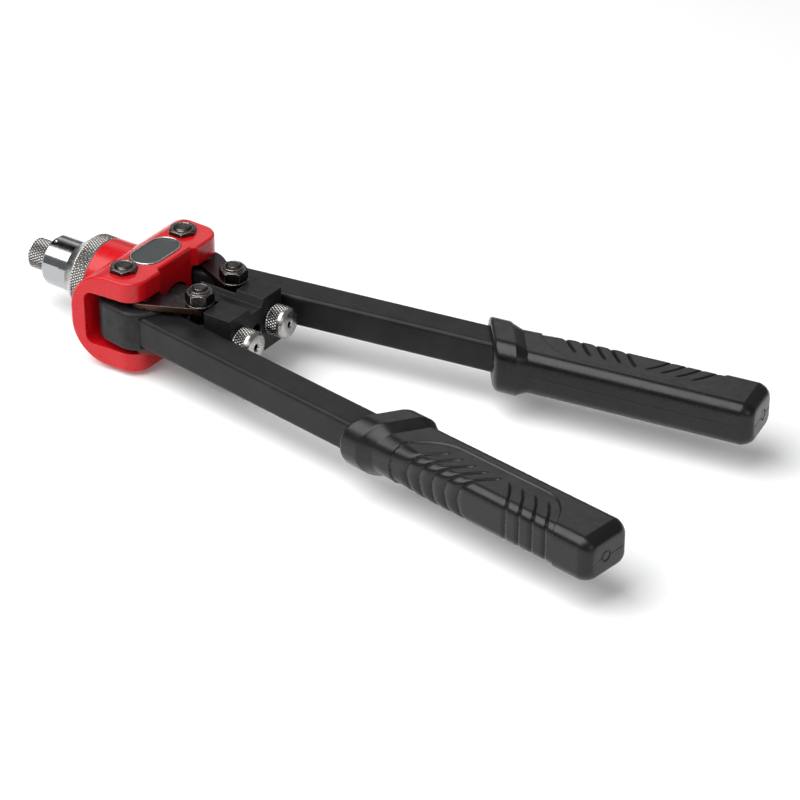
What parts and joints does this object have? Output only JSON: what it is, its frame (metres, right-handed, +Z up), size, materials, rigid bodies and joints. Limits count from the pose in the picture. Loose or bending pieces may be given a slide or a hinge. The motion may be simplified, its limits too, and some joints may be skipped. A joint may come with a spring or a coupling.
{
  "type": "hand riveter",
  "caption": "Long two-handled hand riveter for blind rivets: red head with knurled nose, linked draw block, square tube arms and black moulded grips.",
  "frame": {"origin": "centre of the nosepiece's front face, on the mandrel bore's axis", "axes": "+X along the tool from the nose to the grips, +Z up, out of the upper ear plate, +Y to the right handle"},
  "size_m": [0.3617, 0.156, 0.0523],
  "materials": {
    "red_enamel": "red enamel, gloss",
    "polished_rim": "polished aluminium edge",
    "badge_grey": "blank dark grey-green badge",
    "chrome_plate": "bright plated, turned",
    "nickel_plate": "nickel plated, knurled",
    "bright_steel": "ground steel",
    "bronze": "sintered bronze",
    "black_block": "black, satin",
    "black_oxide": "black oxide, oiled",
    "browned_steel": "browned heat-treated plate",
    "black_casting": "black coated casting, fine texture",
    "black_powder_coat": "black powder coat, satin",
    "black_grip": "moulded black plastic"
  },
  "bodies": {
    "head": {"head_casting": "red_enamel", "badge_rim": "polished_rim", "badge_plate": "badge_grey", "nosepiece": "nickel_plate", "nose_housing": "chrome_plate", "lock_ring": "nickel_plate", "rod_bush": "bronze", "pivot_bolts": "black_oxide", "pivot_nuts": "black_oxide"},
    "draw_carriage": {"draw_block": "black_block", "pull_rod": "bright_steel", "jaw_case": "bright_steel", "jaws": "bright_steel", "jaw_pusher": "bright_steel", "jaw_spring": "bright_steel", "left_spare_nosepiece": "nickel_plate", "right_spare_nosepiece": "nickel_plate", "link_bolts": "black_oxide", "link_nuts": "black_oxide", "link_washers": "black_oxide", "link_spacers": "black_oxide"},
    "left_handle": {"left_knuckle": "black_casting", "left_pivot_bush": "black_oxide", "left_link_pin": "black_oxide", "left_tube": "black_powder_coat", "left_grip": "black_grip"},
    "left_links": {"left_link_upper": "browned_steel", "left_link_lower": "browned_steel"},
    "right_handle": {"right_knuckle": "black_casting", "right_pivot_bush": "black_oxide", "right_link_pin": "black_oxide", "right_tube": "black_powder_coat", "right_grip": "black_grip"},
    "right_links": {"right_link_upper": "browned_steel", "right_link_lower": "browned_steel"}
  },
  "joints": [
    {"name": "left_handle_swing", "type": "hinge", "parent": "head", "child": "left_handle", "pos_m": [0.0725, -0.0222, 0], "axis": [0, 0, -1], "range_deg": [-0.5, 45]},
    {"name": "right_handle_swing", "type": "hinge", "parent": "head", "child": "right_handle", "pos_m": [0.0725, 0.0222, 0], "axis": [0, 0, 1], "range_deg": [-0.6, 45.1]},
    {"name": "draw_slide", "type": "slide", "parent": "head", "child": "draw_carriage", "axis": [-1, 0, 0], "range_m": [-0.0002, 0.00995]},
    {"name": "left_link_turn", "type": "hinge", "parent": "left_handle", "child": "left_links", "pos_m": [0.08475, -0.0241, 0], "axis": [0, 0, 1], "range_deg": [-1, 67]},
    {"name": "right_link_turn", "type": "hinge", "parent": "right_handle", "child": "right_links", "pos_m": [0.08475, 0.0241, 0], "axis": [0, 0, -1], "range_deg": [-1, 67]}
  ],
  "couplings": [
    {"joint": "right_handle_swing", "follows": "left_handle_swing", "ratio": 1},
    {"joint": "draw_slide", "follows": "left_handle_swing", "m_per_rad": 0.01251},
    {"joint": "left_link_turn", "follows": "left_handle_swing", "ratio": 1.4743},
    {"joint": "right_link_turn", "follows": "left_handle_swing", "ratio": 1.4743}
  ]
}
